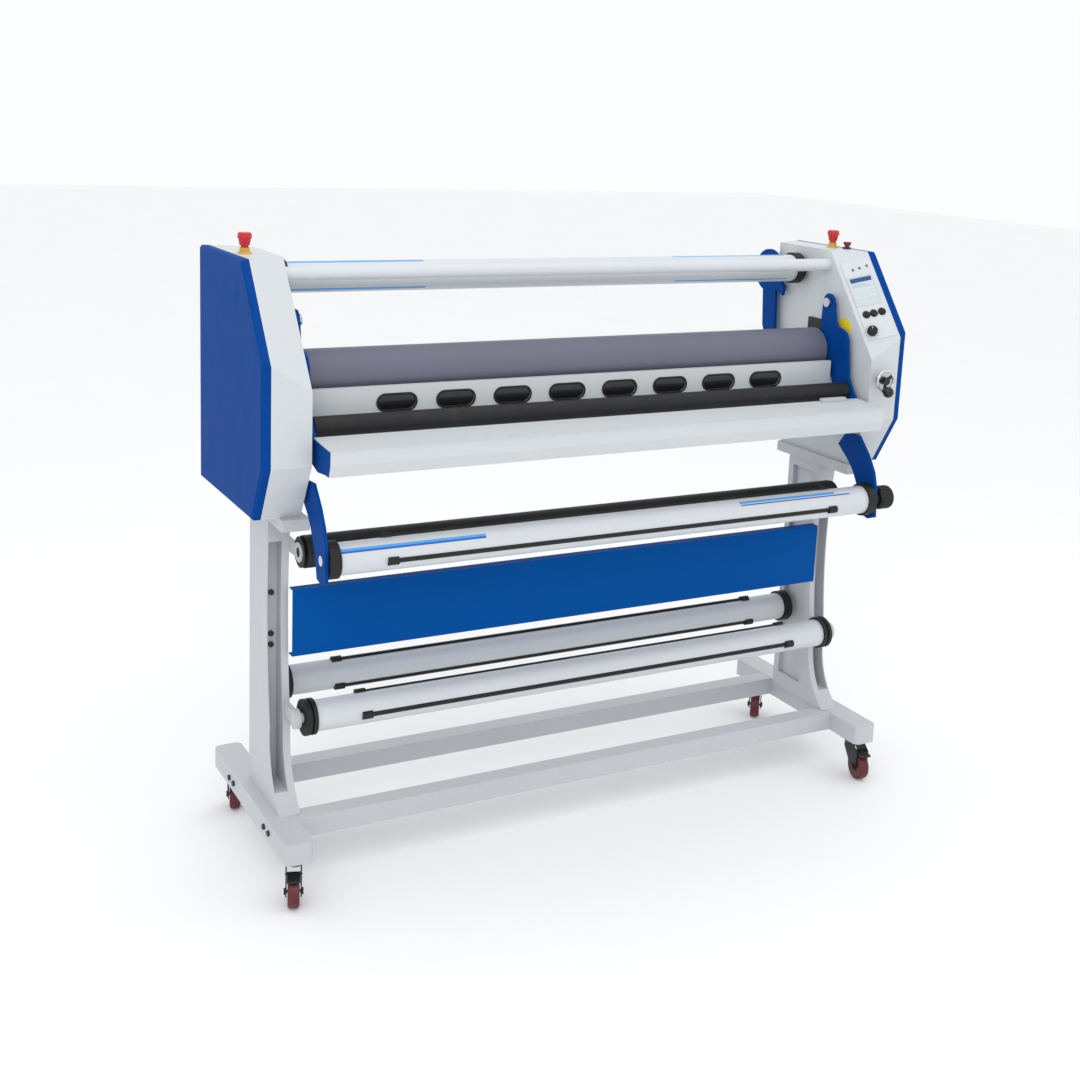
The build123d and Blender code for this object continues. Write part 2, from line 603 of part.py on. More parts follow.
banner = block(-banner_half, banner_half, banner_y, banner_y + banner_lip, banner_z0, banner_z1)
banner -= block(-banner_half - 5, banner_half + 5, banner_y + banner_sheet, banner_y + banner_lip + 5,
                banner_z0 + banner_sheet, banner_z1 - banner_sheet)
save("banner_panel", banner)


def bolt_x(x, y, z, r=7.0, head_t=5.0, side=1):
    """A bolt head on a face at x, pointing away from the middle of the machine."""
    x0, x1 = sorted((side * x, side * (x + head_t)))
    return rod_x(r, x0, x1, (y, z))


bolts = []
for side in (-1, 1):
    for y in (front_beam_y, rear_beam_y):
        for dy in (-18, 18):
            bolts.append(bolt_x(foot_x1, y + dy, foot_z0 + 26, side=side))
    for z in (681.0, 577.0, 549.0):
        bolts.append(Pos(side * (leg_x0 + 33), front_web_y - 2.5, z) * front_axis * Cylinder(7, 5))
save("frame_bolts", *bolts)

# ---------------------------------------------------------------- casters
caster_x = (foot_x0 + foot_x1) / 2
plate_t = 4.0
swivel_z = foot_z0 - plate_t
cheek_t = 3.0
cheek_x = wheel_width / 2 + 2
wheel_at = (caster_trail, wheel_r)      # y, z of the axle, from the swivel axis on the floor
pedal_pivot = (caster_trail + 6.0, 2 * wheel_r + 9.0)
pedal_pin_r = 2.5


def caster_fork():
    """A fork below its swivel axis, trailing towards +Y."""
    fork = rod_z(24, swivel_z - 12, swivel_z - gap, 0, 0)
    for s in (-1, 1):
        x0, x1 = sorted((s * cheek_x, s * (cheek_x + cheek_t)))
        back, low = caster_trail + 16, wheel_r - 11
        fork += prism([(-22, swivel_z - 5), (24, swivel_z - 5), (back, swivel_z - 20), (back, wheel_r + 6),
                       (back - 7, low), (caster_trail - 9, low), (-22, swivel_z - 26)], x0, x1)
    return fork - rod_x(axle_r, -60, 60, wheel_at)


def caster_axle():
    reach = cheek_x + cheek_t
    axle = rod_x(axle_r, -reach - 3, reach + 3, wheel_at)
    return axle + rod_x(8, reach, reach + 4, wheel_at) + rod_x(8, -reach - 4, -reach, wheel_at)


def caster_wheel():
    wheel = rod_x(wheel_r, -wheel_width / 2, wheel_width / 2, wheel_at)
    wheel = fillet(wheel.edges(), 5)
    return wheel - rod_x(axle_r + run_gap, -40, 40, wheel_at)


def brake_pedal():
    """A foot lever across the fork, on a pin between its cheeks."""
    half = cheek_x - gap
    y, z = pedal_pivot
    lever = prism([(y - 6, z - 5), (y - 6, z + 3), (y + 30, z - 3), (y + 30, z - 7), (y + 4, z - 5)],
                  -half, half)
    return lever + rod_x(pedal_pin_r, -cheek_x - cheek_t - 1, cheek_x + cheek_t + 1, pedal_pivot)


# name: swivel's x and y, turn of the fork at rest, has a brake
casters = {"front_left": (-caster_x, caster_front_y, 161.0, True),
           "front_right": (caster_x, caster_front_y, 170.0, True),
           "rear_left": (-caster_x, caster_rear_y, -18.0, False),
           "rear_right": (caster_x, caster_rear_y, 142.0, False)}
caster_plates = []
for name, (x, y, turn, braked) in casters.items():
    place = Pos(x, y, 0) * Rot(0, 0, turn)
    fork = caster_fork()
    if braked:
        fork -= rod_x(pedal_pin_r + run_gap, -60, 60, pedal_pivot)
        save(f"{name}_brake_pedal", place * brake_pedal())
    save(f"{name}_caster_fork", place * fork, place * caster_axle())
    save(f"{name}_caster_wheel", place * caster_wheel())
    caster_plates.append(block(x - 30, x + 30, y - 30, y + 30, swivel_z, foot_z0))
save("caster_plates", *caster_plates)
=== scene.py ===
import bmesh
import bpy
import math
from mathutils import Matrix, Vector


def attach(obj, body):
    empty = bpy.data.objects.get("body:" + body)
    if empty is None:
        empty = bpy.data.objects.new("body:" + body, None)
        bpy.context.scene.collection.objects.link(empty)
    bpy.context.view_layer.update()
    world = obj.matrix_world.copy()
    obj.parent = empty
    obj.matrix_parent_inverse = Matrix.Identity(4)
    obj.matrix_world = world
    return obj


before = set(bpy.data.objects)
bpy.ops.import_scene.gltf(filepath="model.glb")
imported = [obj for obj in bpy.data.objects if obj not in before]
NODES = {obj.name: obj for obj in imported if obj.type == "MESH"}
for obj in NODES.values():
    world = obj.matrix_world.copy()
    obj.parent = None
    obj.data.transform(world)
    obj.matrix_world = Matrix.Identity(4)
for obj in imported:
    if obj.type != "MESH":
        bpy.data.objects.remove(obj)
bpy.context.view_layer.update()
scene = bpy.context.scene

# ------------------------------------------------------------ camera
CAM_AT = (-1.8807, -3.2511, 1.8504)
YAW, PITCH, ROLL = (math.radians(a) for a in (28.6, 11.3, 2.4))
FORWARD = Vector((math.sin(YAW) * math.cos(PITCH), math.cos(YAW) * math.cos(PITCH), -math.sin(PITCH)))
LEVEL = Vector((math.cos(YAW), -math.sin(YAW), 0))
RISE = LEVEL.cross(FORWARD)
CAM_X = LEVEL * math.cos(ROLL) + RISE * math.sin(ROLL)
CAM_Y = RISE * math.cos(ROLL) - LEVEL * math.sin(ROLL)
camera = bpy.data.objects.new("camera", bpy.data.cameras.new("camera"))
scene.collection.objects.link(camera)
camera.matrix_world = (Matrix.Translation(CAM_AT)
                       @ Matrix((CAM_X, CAM_Y, -FORWARD)).transposed().to_4x4())
camera.data.lens = 48.81
camera.data.sensor_width = 36.0
camera.data.shift_y = -0.130
camera.data.clip_end = 60
scene.camera = camera


# ------------------------------------------------------------ materials
def tint(r, g, b):
    """A colour given as 0-255 display values, in linear light."""
    def linear(v):
        v /= 255
        return v / 12.92 if v <= 0.04045 else ((v + 0.055) / 1.055) ** 2.4
    return (linear(r), linear(g), linear(b), 1.0)


class Tree:
    """Shorthands for building a node material; textures are placed in the row frame, at rest."""

    def __init__(self, name):
        self.mat = bpy.data.materials.new(name)
        self.mat.use_nodes = True
        self.nodes, self.links = self.mat.node_tree.nodes, self.mat.node_tree.links
        self.bsdf = self.nodes["Principled BSDF"]
        self.where = self.nodes.new("ShaderNodeTexCoord").outputs["Object"]

    def put(self, value, socket):
        if isinstance(value, bpy.types.NodeSocket):
            self.links.new(value, socket)
        else:
            socket.default_value = value

    def noise(self, scale, detail=4.0, rough=0.55, stretch=(1, 1, 1)):
        place = self.nodes.new("ShaderNodeMapping")
        place.inputs["Scale"].default_value = stretch
        self.links.new(self.where, place.inputs["Vector"])
        n = self.nodes.new("ShaderNodeTexNoise")
        n.inputs["Scale"].default_value = scale
        n.inputs["Detail"].default_value = detail
        n.inputs["Roughness"].default_value = rough
        self.links.new(place.outputs[0], n.inputs["Vector"])
        return n.outputs["Fac"]

    def remap(self, value, low, high, to_low, to_high):
        n = self.nodes.new("ShaderNodeMapRange")
        self.put(value, n.inputs["Value"])
        for key, v in (("From Min", low), ("From Max", high), ("To Min", to_low), ("To Max", to_high)):
            n.inputs[key].default_value = v
        return n.outputs[0]

    def math(self, op, a, b=0.0):
        n = self.nodes.new("ShaderNodeMath")
        n.operation = op
        self.put(a, n.inputs[0])
        self.put(b, n.inputs[1])
        return n.outputs[0]

    def mix(self, share, a, b):
        n = self.nodes.new("ShaderNodeMix")
        n.data_type = "RGBA"
        self.put(share, n.inputs["Factor"])
        self.put(a, n.inputs["A"])
        self.put(b, n.inputs["B"])
        return n.outputs["Result"]

    def axes(self):
        n = self.nodes.new("ShaderNodeSeparateXYZ")
        self.links.new(self.where, n.inputs[0])
        return n.outputs["X"], n.outputs["Y"], n.outputs["Z"]

    def between(self, value, low, high):
        above = self.math("GREATER_THAN", value, low)
        return self.math("MULTIPLY", above, self.math("LESS_THAN", value, high))

    def bump(self, height, strength, distance):
        n = self.nodes.new("ShaderNodeBump")
        n.inputs["Strength"].default_value = strength
        n.inputs["Distance"].default_value = distance
        self.links.new(height, n.inputs["Height"])
        return n.outputs[0]


def shade(color, factor):
    return tuple(c * factor for c in color[:3]) + (1.0,)


def paint(name, color, rough=0.38, grain=900.0, depth=0.00012, vary=0.07, metal=0.0, coat=0.0,
          stretch=(1, 1, 1), dust=0.0, shine=0.5):
    """A coated, moulded or machined surface: fine grain, uneven gloss and slow colour variation."""
    t = Tree(name)
    slow = t.noise(3.0, 5.0)
    fine = t.noise(grain, 3.0, 0.6, stretch)
    base = t.mix(t.remap(slow, 0.3, 0.7, 0.0, 1.0), shade(color, 1 - vary), shade(color, 1 + vary * 0.5))
    if dust:
        cloudy = t.remap(t.noise(22.0, 8.0, 0.7), 0.55, 0.78, 0.0, dust)
        base = t.mix(cloudy, base, (0.45, 0.43, 0.40, 1))
    t.put(base, t.bsdf.inputs["Base Color"])
    t.put(t.remap(t.noise(14.0, 6.0), 0.3, 0.7, rough * 0.95, rough * 1.07), t.bsdf.inputs["Roughness"])
    t.bsdf.inputs["Metallic"].default_value = metal
    t.bsdf.inputs["Coat Weight"].default_value = coat
    t.bsdf.inputs["Specular IOR Level"].default_value = shine
    t.put(t.bump(fine, 0.35, depth), t.bsdf.inputs["Normal"])
    t.base = base
    return t


M = {
    "white": paint("white_powder_coat", tint(200, 205, 207), 0.42,
                   depth=0.0001, vary=0.02, shine=0.35),
    "grey": paint("grey_powder_coat", tint(190, 193, 197), 0.45,
                  depth=0.00014, vary=0.03, shine=0.4),
    "blue": paint("blue_powder_coat", tint(2, 64, 140), 0.55,
                  depth=0.00008, vary=0.015, shine=0.05),
    "banner": paint("banner_blue", tint(0, 78, 154), 0.5,
                    depth=0.00005, vary=0.015, shine=0.04),
    "rubber": paint("roller_silicone", tint(100, 101, 118), 0.5, 1400, 0.0001, 0.04,
                    stretch=(0.05, 1, 1)),
    "black_rubber": paint("black_rubber", tint(26, 26, 28), 0.55, 700, 0.0002, 0.12,
                          dust=0.03, shine=0.35),
    "black_plastic": paint("black_plastic", tint(20, 20, 22), 0.42, 1100, 0.00016, 0.1,
                           dust=0.02, shine=0.35),
    "dark_steel": paint("dark_plated_steel", tint(52, 54, 56), 0.4, 500, 0.0001, 0.12,
                        metal=0.7, dust=0.03),
    "zinc": paint("zinc_plate", tint(190, 193, 196), 0.32, 500, 0.00008, 0.12, metal=1.0),
    "steel": paint("turned_steel", tint(200, 201, 203), 0.26, 900, 0.00006, 0.08,
                   metal=1.0, stretch=(6, 0.2, 0.2)),
    "cast": paint("motor_casting", tint(82, 88, 94), 0.55, 350, 0.0004, 0.15, dust=0.08),
    "red": paint("red_plastic", tint(190, 22, 24), 0.3, 1200, 0.00004, 0.05, coat=0.15),
    "dark_red": paint("dark_red_plastic", tint(112, 22, 22), 0.4, 1200, 0.00004, 0.08),
    "yellow": paint("yellow_plastic", tint(214, 166, 60), 0.35, 1200, 0.00004, 0.1),
    "wheel": paint("maroon_tyre", tint(92, 18, 32), 0.45, 500, 0.0002, 0.12, dust=0.05),
    "panel": paint("panel_film", tint(203, 208, 211), 0.34, 1800, 0.00003, 0.02),
    "screen_bar": paint("screen_bar", tint(28, 60, 124), 0.25, 1800, 0.00001, 0.04, coat=0.3),
    "screen": paint("screen_film", tint(194, 206, 213), 0.28, 1800, 0.00001, 0.02, coat=0.1),
    "sticker": paint("yellow_sticker", tint(236, 208, 44), 0.4, 1600, 0.00002, 0.05),
    "light_blue": paint("light_blue_film", tint(150, 184, 208), 0.3, 1600, 0.00002, 0.05),
    "smoke": paint("smoked_plastic", tint(20, 21, 24), 0.22, 1500, 0.00002, 0.1, coat=0.3),
}


def tube_paint(name, centre, marks):
    """A white winding tube with blue stripes, each (x0, x1, angle0, angle1, colour).

    The centre is in millimetres, x0 and x1 are in metres, and the angles are in degrees.
    """
    t = paint(name, tint(202, 207, 211), 0.34, 1100, 0.00004, 0.02, coat=0.05)
    x, y, z = t.axes()
    angle = t.math("DEGREES", t.math("ARCTAN2", t.math("SUBTRACT", z, centre[1] / 1000),
                                     t.math("SUBTRACT", y, centre[0] / 1000)))
    angle = t.math("MODULO", t.math("ADD", angle, 360.0), 360.0)
    base = t.base
    for x0, x1, a0, a1, color in marks:
        inside = t.math("MULTIPLY", t.between(x, x0, x1), t.between(angle, a0, a1))
        base = t.mix(inside, base, color)
    t.put(base, t.bsdf.inputs["Base Color"])
    return t


def dress(node, tree):
    """Gives a CAD node one material."""
    o = NODES[node]
    o.data.materials.clear()
    o.data.materials.append(tree.mat)


SKY, DEEP = tint(72, 156, 220), tint(28, 92, 178)
tube_a = tube_paint("take_up_tube", (-262, 832),
                    [(-0.774, -0.395, 128, 138, SKY), (-0.774, -0.395, 138, 146, DEEP),
                     (0.340, 0.651, 112, 124, SKY), (0.340, 0.700, 128, 134, DEEP)])
tube_b = tube_paint("rear_tube", (62, 420), [])
tube_c = tube_paint("front_tube", (-124, 400), [])
tube_d = tube_paint("supply_tube", (117, 1425),
                    [(-0.767, -0.398, 92, 112, SKY), (0.345, 0.727, 92, 106, SKY),
                     (-0.767, -0.398, 222, 234, SKY), (0.345, 0.727, 222, 230, SKY)])

DRESS = {
    "white": ["left_cabinet_shell", "right_cabinet_shell", "feed_table", "window_guard"],
    "grey": ["legs", "leg_heads", "feet", "cross_beams", "shaft_cups"],
    "blue": ["side_covers", "swing_arms", "lower_arms", "rear_brackets"],
    "banner": ["banner_panel"],
    "rubber": ["lower_roller", "upper_roller"],
    "black_rubber": ["front_idler", "lower_idler", "front_shaft_grips", "rear_shaft_grips",
                     "take_up_shaft_grips", "supply_shaft_grips"],
    "black_plastic": ["journal_shields", "tension_knob", "speed_dial", "power_inlet", "panel_button_1",
                      "panel_button_2", "panel_button_3"],
    "dark_steel": ["frame_bolts", "motor_sprocket", "roller_sprocket", "drive_chain"],
    "zinc": ["caster_plates", "swing_pivots"],
    "steel": ["lifting_blocks", "roller_side_plates"],
    "cast": ["drive_motor"],
    "red": ["left_stop_cap", "right_stop_cap"],
    "dark_red": ["reset_button"],
    "panel": ["control_panel"],
    "screen": ["display_window"],
}
CORNERS = ("front_left", "front_right", "rear_left", "rear_right")
DRESS["wheel"] = [corner + "_caster_wheel" for corner in CORNERS]
DRESS["dark_steel"] += [corner + "_caster_fork" for corner in CORNERS]
DRESS["dark_steel"] += [corner + "_brake_pedal" for corner in CORNERS[:2]]
for key, names in DRESS.items():
    for node in names:
        dress(node, M[key])
dress("take_up_shaft_tube", tube_a)
dress("rear_shaft_tube", tube_b)
dress("front_shaft_tube", tube_c)
dress("supply_shaft_tube", tube_d)
dress("tie_tube", tube_paint("tie_tube_paint", (0, 1447), []))

# the low button's collar is dark and the two under the emergency stops are yellow
COLLAR_SPLIT_Y = 0.045
collars = paint("stop_collars", tint(206, 160, 58), 0.35, 1200, 0.00004, 0.06)
collar_y = collars.axes()[1]
collars.put(collars.mix(collars.math("LESS_THAN", collar_y, COLLAR_SPLIT_Y), collars.base, tint(34, 34, 36)),
            collars.bsdf.inputs["Base Color"])
dress("stop_collars", collars)

# the handwheel's ring is chrome; its hub, spokes and ball are black
WHEEL_X, WHEEL_Z = 0.828, 1.156
BALL_Y, RING_INNER = -0.2515, 0.0235
wheel_paint = Tree("handwheel")
wx, wy, wz = wheel_paint.axes()
dx, dz = wheel_paint.math("SUBTRACT", wx, WHEEL_X), wheel_paint.math("SUBTRACT", wz, WHEEL_Z)
reach = wheel_paint.math("SQRT", wheel_paint.math("ADD", wheel_paint.math("MULTIPLY", dx, dx),
                                                  wheel_paint.math("MULTIPLY", dz, dz)))
black_share = wheel_paint.math("MAXIMUM", wheel_paint.math("LESS_THAN", wy, BALL_Y),
                               wheel_paint.math("LESS_THAN", reach, RING_INNER))
wheel_paint.put(wheel_paint.mix(black_share, tint(206, 208, 212), tint(18, 18, 20)),
                wheel_paint.bsdf.inputs["Base Color"])
wheel_paint.put(wheel_paint.math("SUBTRACT", 1.0, black_share), wheel_paint.bsdf.inputs["Metallic"])
wheel_paint.put(wheel_paint.remap(wheel_paint.noise(60.0), 0.3, 0.7, 0.1, 0.22),
                wheel_paint.bsdf.inputs["Roughness"])
wheel_paint.put(wheel_paint.bump(wheel_paint.noise(700.0), 0.1, 0.00004), wheel_paint.bsdf.inputs["Normal"])
dress("pressure_handwheel", wheel_paint)


# ------------------------------------------------------------ pieces
def piece(name, verts, faces, material, body, bevel=0.0, smooth=False):
    """A mesh piece in the row frame that rides on a body."""
    mesh = bpy.data.meshes.new(name)
    mesh.from_pydata([tuple(v) for v in verts], [], faces)
    bm = bmesh.new()
    bm.from_mesh(mesh)
    bmesh.ops.remove_doubles(bm, verts=bm.verts, dist=1e-6)
    bmesh.ops.recalc_face_normals(bm, faces=bm.faces)
    if bevel:
        sharp = [e for e in bm.edges if len(e.link_faces) == 2 and e.calc_face_angle(0) > 0.7]
        bmesh.ops.bevel(bm, geom=sharp, offset=bevel, segments=2, affect="EDGES", profile=0.5)
    bm.to_mesh(mesh)
    bm.free()
    for f in mesh.polygons:
        f.use_smooth = smooth
    mesh.materials.append(material.mat)
    o = bpy.data.objects.new(name, mesh)
    scene.collection.objects.link(o)
    if smooth:
        mesh.set_sharp_from_angle(angle=math.radians(40))
    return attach(o, body)


def merge(parts):
    """Joins (verts, faces) lists into one."""
    verts, faces = [], []
    for v, f in parts:
        start = len(verts)
        verts += v
        faces += [tuple(i + start for i in face) for face in f]
    return verts, faces


def revolve(profile, count, place):
    """Turns (radius, height) points about the local Z axis; place maps a local point to the row frame."""
    verts, faces = [], []
    n = len(profile)
    for k in range(count):
        a = 2 * math.pi * k / count
        verts += [place(Vector((r * math.cos(a), r * math.sin(a), h))) for r, h in profile]
    for k in range(count):
        for i in range(n - 1):
            a, b = k * n + i, k * n + i + 1
            c, d = ((k + 1) % count) * n + i + 1, ((k + 1) % count) * n + i
            faces.append((a, b, c, d))
    return verts, faces


def slab(outline, low, high, place):
    """A flat outline of (x, y) points made solid between two local heights."""
    n = len(outline)
    verts = [place(Vector((x, y, z))) for z in (low, high) for x, y in outline]
    faces = [tuple(range(n - 1, -1, -1)), tuple(range(n, 2 * n))]
    faces += [(i, (i + 1) % n, n + (i + 1) % n, n + i) for i in range(n)]
    return verts, faces


def round_box(cx, cy, w, h, r, steps=5):
    """The outline of a rectangle with round corners."""
    points = []
    for sx, sy, a0 in ((1, 1, 0), (-1, 1, 90), (-1, -1, 180), (1, -1, 270)):
        for k in range(steps + 1):
            a = math.radians(a0 + 90 * k / steps)
            points.append((cx + sx * (w / 2 - r) + r * math.cos(a),
                           cy + sy * (h / 2 - r) + r * math.sin(a)))
    return points


def ring(outline, hole, low, high, place):
    """A frame between two outlines with the same number of points."""
    n = len(outline)
    rows = ((outline, low), (outline, high), (hole, high), (hole, low))
    verts = [place(Vector((x, y, z))) for line, z in rows for x, y in line]
    faces = []
    for r in range(4):
        this, following = r * n, ((r + 1) % 4) * n
        for i in range(n):
            j = (i + 1) % n
            faces.append((this + i, this + j, following + j, following + i))
    return verts, faces


def framed(origin, x_dir, z_dir):
    """A map from local coordinates to the row frame."""
    z = Vector(z_dir).normalized()
    x = Vector(x_dir).normalized()
    y = z.cross(x)
    o = Vector(origin)
    return lambda p: o + x * p.x + y * p.y + z * p.z


mm = 0.001


def in_mm(points):
    """Points given in millimetres, in metres."""
    return [(a * mm, b * mm) for a, b in points]


def radial_bar(angle, r0, half0, r1, half1):
    """A small bar that points outward from radius r0 to r1, with its half widths, in millimetres."""
    c, s = math.cos(angle), math.sin(angle)
    corners = ((r0, half0), (r0, -half0), (r1, -half1), (r1, half1))
    return in_mm([(r * c - w * s, r * s + w * c) for r, w in corners])


# main planes of the machine, in metres
SIDE, OUTER, TOP, FRONT = 0.800, 0.917, 1.488, -0.216
FOLD = TOP - 0.205
SLOPE_OUTER_TOP = Vector((OUTER, -0.062, TOP))
SLOPE_OUTER_FOLD = Vector((OUTER, FRONT, FOLD))
SLOPE_INNER_TOP = Vector((SIDE, -0.006, TOP))
SLOPE_N = (SLOPE_INNER_TOP - SLOPE_OUTER_TOP).cross(SLOPE_OUTER_FOLD - SLOPE_OUTER_TOP).normalized()
PANEL_UP = (SLOPE_OUTER_TOP - SLOPE_OUTER_FOLD).normalized()
PANEL_X = PANEL_UP.cross(SLOPE_N)
PANEL_TOP = 2 * mm
on_slope = framed(SLOPE_INNER_TOP, PANEL_X, SLOPE_N)


def panel_place(a, b, w=PANEL_TOP):
    """A place on the control panel: a across, b up the slope, both in millimetres."""
    return framed(on_slope(Vector((a * mm, b * mm, w))), PANEL_X, SLOPE_N)


# ------------------------------------------------------------ control panel
LIGHTS = ((40, -75), (60, -73), (83, -70))
DISPLAY_A, DISPLAY_B, BAR_B, BAR_W = 51.5, -141.5, -108, 62
ROWS = ((40, -122), (52, -128))
KEY_COLUMNS, KEY_ROWS = (26, 43, 60, 77), (-148, -164)
BUTTON_COLUMNS, BUTTON_B = (31, 53, 77), -215
DIAL = (28, -268)

dome = in_mm([(3.6, 0), (3.6, 0.8), (3.0, 1.9), (1.6, 2.6), (0.001, 2.8)])
for k, spot in enumerate(LIGHTS):
    piece(f"status_light_{k + 1}", *revolve(dome, 24, panel_place(*spot)), M["cast"], "frame", smooth=True)

bezel = ring(round_box(0, 0, 0.077, 0.093, 0.005), round_box(0, 0, 0.070, 0.086, 0.003),
             0, 1.2 * mm, panel_place(DISPLAY_A, DISPLAY_B))
piece("display_bezel", *bezel, M["white"], "frame")
bar = slab(round_box(0, 0, BAR_W * mm, 13 * mm, 2 * mm), 0, 0.7 * mm, panel_place(DISPLAY_A, BAR_B))
piece("display_bar", *bar, M["screen_bar"], "frame")
rows = [slab(round_box(0, 0, w * mm, 2.2 * mm, 0.8 * mm), 0, 0.4 * mm,
             panel_place(DISPLAY_A - (BAR_W - w) / 2, b)) for w, b in ROWS]
piece("display_rows", *merge(rows), M["light_blue"], "frame")
keys = [slab(round_box(0, 0, 13 * mm, 9 * mm, 2 * mm), 0, 0.8 * mm, panel_place(a, b))
        for b in KEY_ROWS for a in KEY_COLUMNS]
piece("display_keys", *merge(keys), M["panel"], "frame", bevel=0.25 * mm)

lip = in_mm([(8.8, 0), (11.4, 0), (11.4, 1.2), (10.6, 2.0), (9.2, 2.0), (8.8, 1.4), (8.8, 0)])
for k, a in enumerate(BUTTON_COLUMNS):
    piece(f"button_ring_{k + 1}", *revolve(lip, 40, panel_place(a, BUTTON_B)), M["dark_steel"], "frame",
          smooth=True)

DIAL_TICKS, TICK_START, TICK_STEP = 11, 225, 27
ticks = [slab(radial_bar(math.radians(TICK_START - TICK_STEP * k), 16, 0.4, 20, 0.4), 0, 0.2 * mm,
              panel_place(*DIAL)) for k in range(DIAL_TICKS)]
piece("dial_scale", *merge(ticks), M["black_plastic"], "frame")

# ------------------------------------------------------------ guard plate
# black frames and smoked inserts in its eight windows
WINDOWS, WINDOW_W, WINDOW_H, WINDOW_PITCH = 8, 97 * mm, 36 * mm, 155 * mm
GUARD_Y, WINDOW_Z = -0.085, 1.147
FRAME_W, FRAME_DEEP, OVERLAP = 4.5 * mm, 3 * mm, 0.5 * mm


def window_outline(grow):
    """A long hole's outline, grown outward."""
    w, h = WINDOW_W + 2 * grow, WINDOW_H + 2 * grow
    return round_box(0, 0, w, h, h / 2, 8)


for k in range(WINDOWS):
    place = framed(((k - (WINDOWS - 1) / 2) * WINDOW_PITCH, GUARD_Y, WINDOW_Z), (1, 0, 0), (0, -1, 0))
    frame_ring = ring(window_outline(FRAME_W), window_outline(-OVERLAP), 0.05 * mm, FRAME_DEEP, place)
    piece(f"window_frame_{k + 1}", *frame_ring, M["black_rubber"], "frame", bevel=0.8 * mm, smooth=True)
    pane = slab(window_outline(-OVERLAP), -2.5 * mm, -1.0 * mm, place)
    piece(f"window_pane_{k + 1}", *pane, M["smoke"], "frame")

# a blank disc on the right inner wall
disc = in_mm([(0.001, 0.5), (26, 0.5), (26.4, 0.25), (26.4, 0.02)])
piece("wall_disc", *revolve(disc, 48, framed((SIDE, -0.093, 1.283), (0, 1, 0), (-1, 0, 0))), M["sticker"],
      "frame")

# ------------------------------------------------------------ emergency stops
# a lip round each cap and a ring round each collar
STOP_X, STOP_Y, LIP_Z = 0.868, 0.070, 1.5250
cap_lip = in_mm([(16.5, 0.5), (17.5, 1.5), (17.5, 3.5), (16.5, 4.8), (16.5, 0.5)])
base_ring = in_mm([(12, 0.05), (16, 0.05), (16, 2.5), (14.5, 4.0), (12, 4.0), (12, 0.05)])
for side, stop in ((-1, "left_stop"), (1, "right_stop")):
    for name, profile, z, material, body in ((f"{stop}_lip", cap_lip, LIP_Z, "red", stop),
                                             (f"{stop}_base_ring", base_ring, TOP, "yellow", "frame")):
        place = framed((side * STOP_X, STOP_Y, z), (1, 0, 0), (0, 0, 1))
        piece(name, *revolve(profile, 56, place), M[material], body, smooth=True)

# ------------------------------------------------------------ tension knob
# grip ribs and an end ring
KNOB_Y, KNOB_Z, KNOB_MIDDLE, KNOB_END = -0.262, 0.832, 0.835, 0.857
KNOB_RIBS, KNOB_R = 24, 30.8 * mm
ribs = []
for k in range(KNOB_RIBS):
    a = 2 * math.pi * k / KNOB_RIBS
    out = Vector((0, math.cos(a), math.sin(a)))
    place = framed(Vector((KNOB_MIDDLE, KNOB_Y, KNOB_Z)) + out * KNOB_R, (1, 0, 0), out)
    ribs.append(slab(round_box(0, 0, 32 * mm, 3.6 * mm, 1.6 * mm, 3), 0, 1.5 * mm, place))
piece("tension_knob_ribs", *merge(ribs), M["black_plastic"], "tension_knob")
hub = in_mm([(8, 0.05), (19, 0.05), (19, 1.2), (17, 2.2), (8, 2.2), (8, 0.05)])
piece("tension_knob_ring", *revolve(hub, 48, framed((KNOB_END, KNOB_Y, KNOB_Z), (0, 1, 0), (1, 0, 0))),
      M["dark_steel"], "tension_knob", smooth=True)

# ------------------------------------------------------------ dial
# grip flutes and a white bar on the dial's top that is a painted highlight
dial_place = panel_place(*DIAL, 2.5 * mm)
FLUTES = 18
flutes = [slab(radial_bar(2 * math.pi * k / FLUTES, 12.6, 1.1, 13.9, 0.7), 1 * mm, 13 * mm, dial_place)
          for k in range(FLUTES)]
piece("dial_flutes", *merge(flutes), M["black_plastic"], "dial")
# the white bar is a painted highlight on the dial's top face, not a pointer
painted_highlight_bar = slab(round_box(0, 7 * mm, 1.6 * mm, 8 * mm, 0.5 * mm, 3), 16.0 * mm, 16.4 * mm, dial_place)
piece("dial_painted_highlight", *painted_highlight_bar, M["white"], "dial")

# ------------------------------------------------------------ table
# a stop clip near the right end and a bead along the front edge
TABLE_RISE = (0, -0.0624, 0.998)
CLIP_AT, CLIP_W, CLIP_D, CLIP_H = (0.690, -0.1985, 1.0985), 84 * mm, 16 * mm, 9 * mm
clip = slab(round_box(0, 0, CLIP_W, CLIP_D, 4 * mm), 0.05 * mm, CLIP_H,
            framed(CLIP_AT, (1, 0, 0), TABLE_RISE))
piece("table_clip", *clip, M["grey"], "swing_table", bevel=0.8 * mm)
BEAD_HALF, BEAD_Y, BEAD_Z = 0.785, -0.2960, 1.0933
bead = slab(in_mm([(-5, -1.2), (3, -1.2), (3, 0.4), (-5, 0.4)]), -BEAD_HALF, BEAD_HALF,
            framed((0, BEAD_Y, BEAD_Z), (0, 1, 0), (1, 0, 0)))
piece("table_trim", *bead, M["white"], "swing_table")

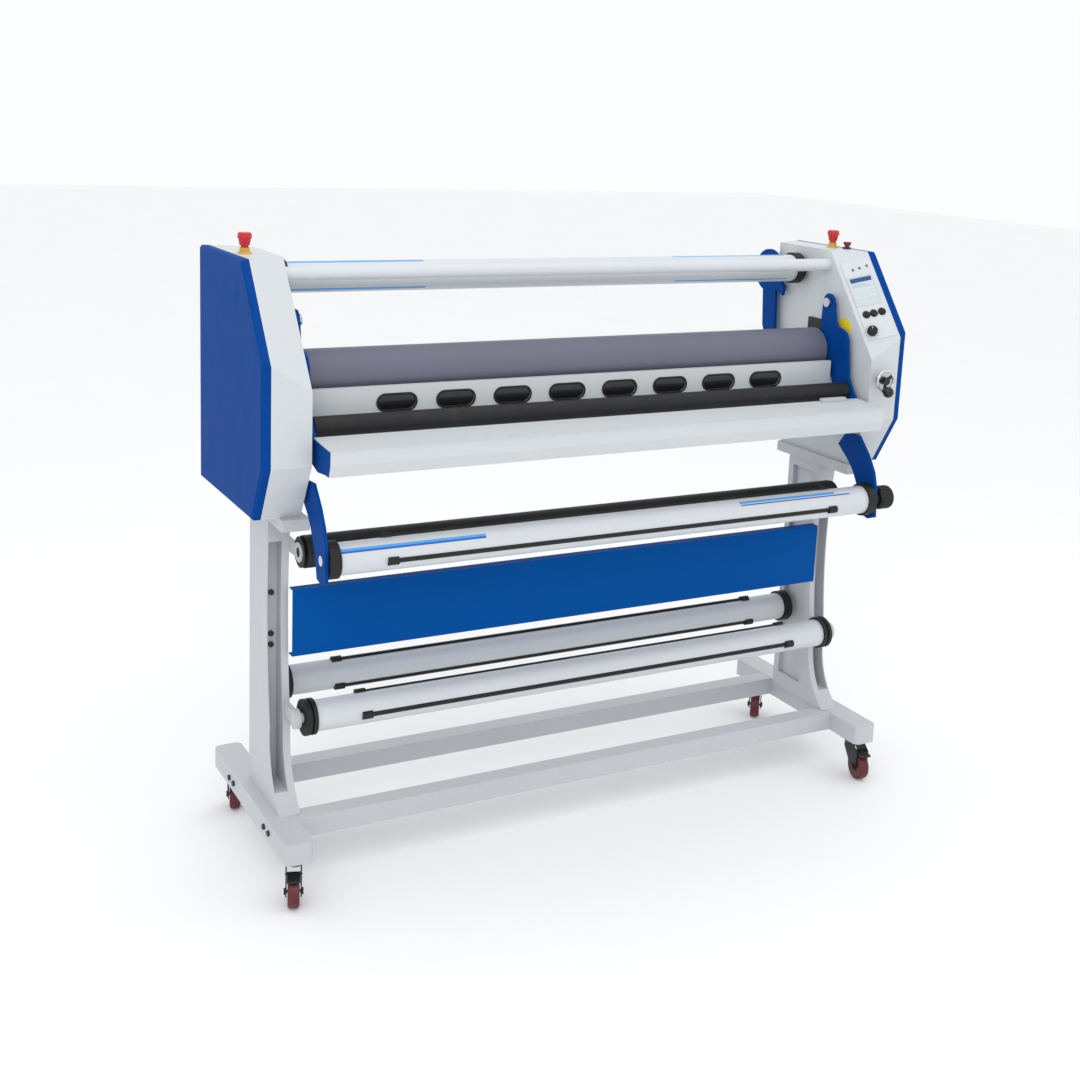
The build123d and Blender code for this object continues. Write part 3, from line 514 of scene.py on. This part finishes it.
# ------------------------------------------------------------ rear screws
# three rows of two down each cabinet's slanting rear wall
REAR_IN_Y, REAR_SLANT = 0.225, 0.056 / 0.117
REAR_N = Vector((-0.056, 0.117, 0)).normalized()
SCREW_X, SCREW_Z = (0.812, 0.884), (0.955, 1.20, 1.44)
screw_head = in_mm([(0.001, 2.4), (2.2, 2.4), (4.2, 1.6), (4.8, 0.05)])
for side, tag in ((-1, "left"), (1, "right")):
    outward = Vector((REAR_N.x * side, REAR_N.y, 0))
    for k, z in enumerate(SCREW_Z):
        for j, x in enumerate(SCREW_X):
            y = REAR_IN_Y + (x - SIDE) * REAR_SLANT
            head = revolve(screw_head, 24, framed((side * x, y, z), (0, 0, 1), outward))
            piece(f"{tag}_rear_screw_{k * 2 + j + 1}", *head, M["zinc"], "frame", smooth=True)

# ------------------------------------------------------------ idler end plates
IDLERS = {  # y and z of the axis, plate radius and bore in millimetres, x of the plate
    "front_idler": (-0.142, 1.112, 24.0, 9.5, 0.7740),
    "lower_idler": (-0.104, 0.806, 37.5, 13.0, 0.7880),
}
for name, (y, z, r, bore, x) in IDLERS.items():
    plate = in_mm([(bore, 0.05), (r, 0.05), (r - 1, 1.0), (r * 0.62, 1.0), (r * 0.56, 0.4), (bore, 0.4),
                   (bore, 0.05)])
    for side, tag in ((-1, "left"), (1, "right")):
        place = framed((side * x, y, z), (0, 1, 0), (side, 0, 0))
        piece(f"{name}_end_{tag}", *revolve(plate, 40, place), M["dark_steel"], name, smooth=True)

# ------------------------------------------------------------ stage and light
floor_mesh = bpy.data.meshes.new("floor")
floor_mesh.from_pydata([(-20, -14, 0), (20, -14, 0), (20, 26, 0), (-20, 26, 0)], [], [(0, 1, 2, 3)])
floor = bpy.data.objects.new("floor", floor_mesh)
scene.collection.objects.link(floor)
floor_paint = Tree("floor_paint")
floor_paint.put(floor_paint.mix(floor_paint.noise(1.5), tint(246, 247, 248), tint(250, 250, 250)),
                floor_paint.bsdf.inputs["Base Color"])
floor_paint.bsdf.inputs["Roughness"].default_value = 0.8
floor_paint.bsdf.inputs["Specular IOR Level"].default_value = 0.1
floor_mesh.materials.append(floor_paint.mat)

world = bpy.data.worlds.new("studio")
scene.world = world
world.use_nodes = True
world.node_tree.nodes["Background"].inputs["Color"].default_value = (0.985, 0.99, 1.0, 1)
world.node_tree.nodes["Background"].inputs["Strength"].default_value = 1.0


def soft_light(name, at, aim, size, power, color=(1, 1, 1)):
    data = bpy.data.lights.new(name, "AREA")
    data.shape = "RECTANGLE"
    data.size, data.size_y = size
    data.energy = power
    data.color = color
    o = bpy.data.objects.new(name, data)
    scene.collection.objects.link(o)
    o.location = at
    o.rotation_euler = (Vector(aim) - Vector(at)).to_track_quat("-Z", "Y").to_euler()


soft_light("key", (-2.6, -3.6, 3.6), (0, 0, 1.0), (2.6, 2.2), 42)
soft_light("top", (0.2, -0.3, 4.2), (0, 0, 0.8), (4.0, 3.0), 22)
soft_light("fill", (3.8, -2.4, 1.9), (0, 0, 0.9), (2.4, 2.4), 8)
scene.view_settings.view_transform = "Standard"
